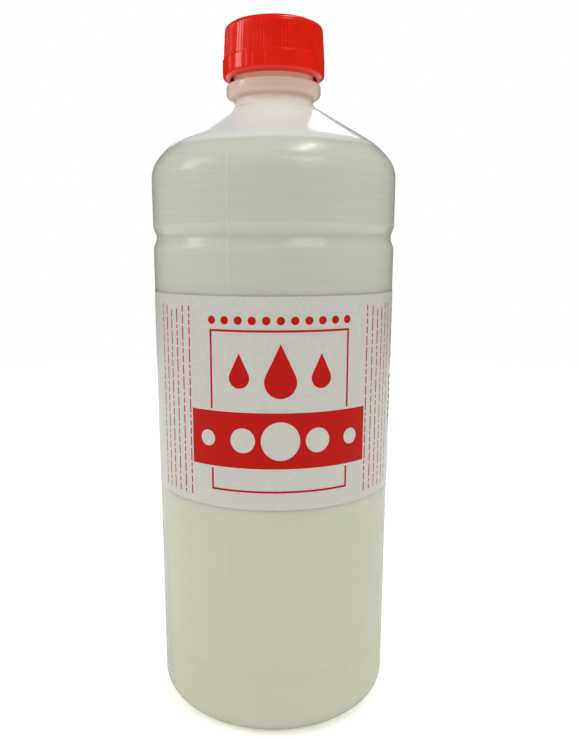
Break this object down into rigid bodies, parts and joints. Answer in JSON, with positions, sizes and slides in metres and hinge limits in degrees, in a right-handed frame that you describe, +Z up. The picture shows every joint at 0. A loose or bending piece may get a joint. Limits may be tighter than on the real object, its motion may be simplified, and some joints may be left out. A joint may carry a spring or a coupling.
{
  "type": "bleach bottle",
  "caption": "Round blow-moulded bottle of liquid with a bead under the neck thread, a wrap-around label and a ribbed screw cap.",
  "frame": {"origin": "middle of the base, on the table", "axes": "+Z up along the bottle's axis, -Y towards the front of the label, +X to its right"},
  "size_m": [0.0836, 0.0838, 0.2353],
  "materials": {
    "natural_polyethylene": "blown natural polyethylene, translucent, satin",
    "bleach": "clear pale yellow-green liquid",
    "red_polypropylene": "glossy moulded red, fine upright ribs",
    "liner_foam": "white closed-cell foam",
    "label_film": "thin pearly film, satin",
    "red_ink": "printed, satin",
    "black_ink": "printed, satin"
  },
  "bodies": {
    "bottle_body": {"bottle": "natural_polyethylene", "bleach_liquid": "bleach", "label": "label_film", "label_print_red": "red_ink", "label_print_black": "black_ink"},
    "liner_body": {"cap_liner": "liner_foam"},
    "cap_body": {"cap": "red_polypropylene"}
  },
  "joints": [
    {"name": "cap_rise", "type": "slide", "parent": "bottle_body", "child": "liner_body", "axis": [0, 0, 1], "range_m": [0, 0.006]},
    {"name": "cap_turn", "type": "hinge", "parent": "liner_body", "child": "cap_body", "pos_m": [0, 0, 0.2185], "axis": [0, 0, 1], "range_deg": [0, 540]}
  ],
  "couplings": [
    {"joint": "cap_turn", "follows": "cap_rise", "rad_per_m": 1570.8}
  ]
}
